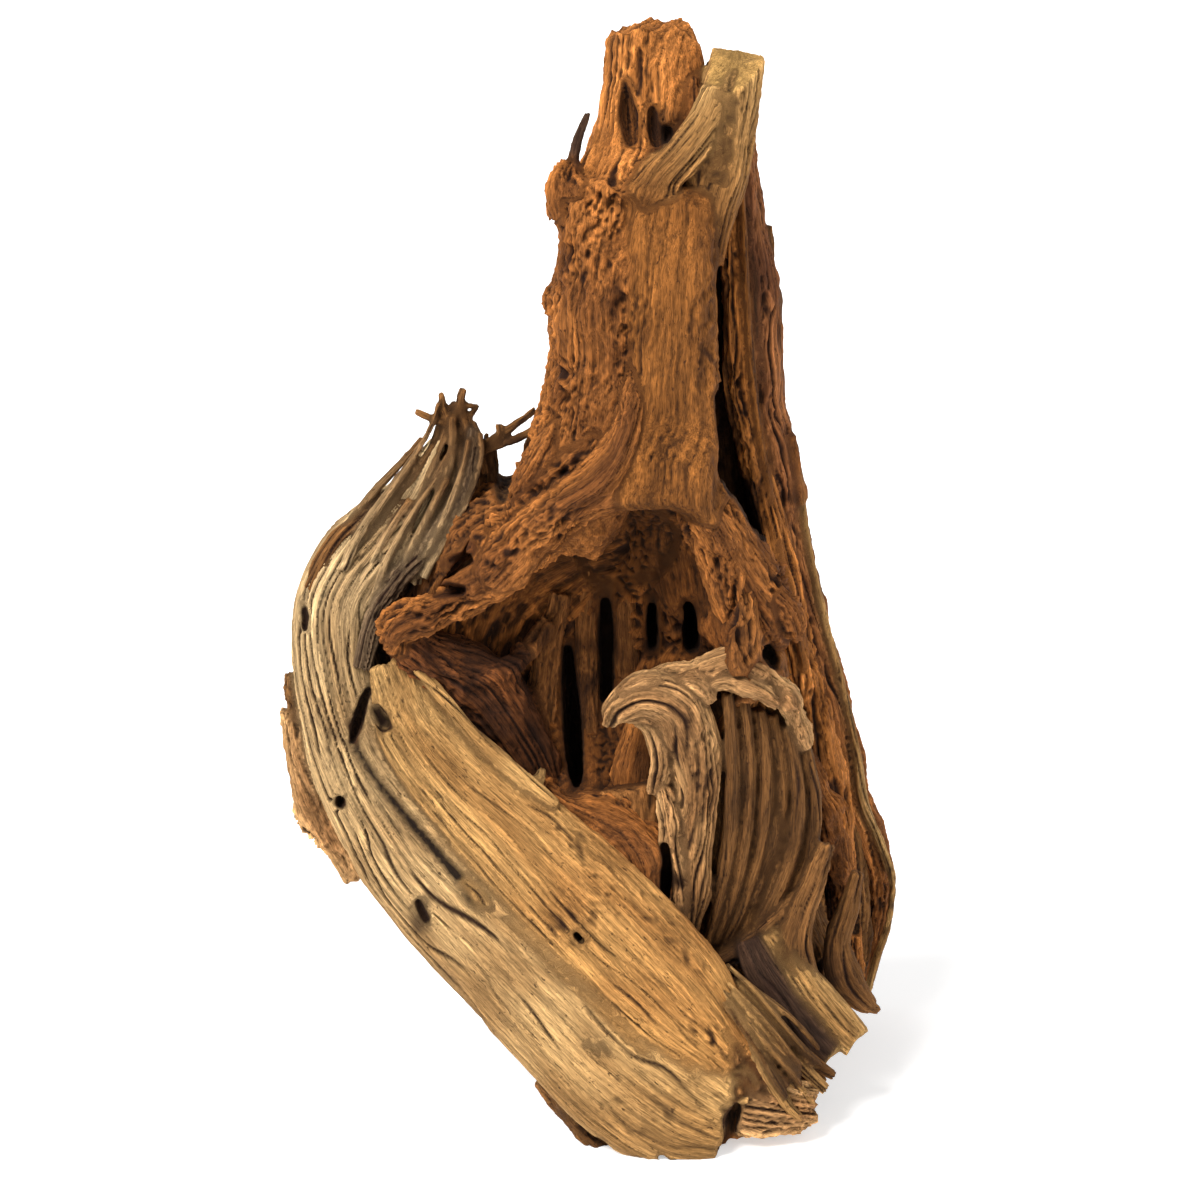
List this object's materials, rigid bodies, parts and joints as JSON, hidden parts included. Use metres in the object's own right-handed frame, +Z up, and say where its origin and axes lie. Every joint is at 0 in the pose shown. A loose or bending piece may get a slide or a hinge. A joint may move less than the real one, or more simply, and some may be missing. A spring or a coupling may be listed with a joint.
{
  "type": "piece of driftwood",
  "caption": "Upright piece of weathered driftwood: a stump-topped trunk with a hooded hollow, a burl and a broad curled plank at its foot.",
  "frame": {"origin": "middle of the bounding box, on the ground that the wood stands on", "axes": "+Z up, along the trunk; -Y towards the side with the hooded hollow; +X to the right as seen from that side"},
  "size_m": [0.2542, 0.1773, 0.4495],
  "materials": {
    "weathered_wood": "bare, weathered, matt"
  },
  "bodies": {
    "root": {"driftwood": "weathered_wood"}
  },
  "joints": []
}
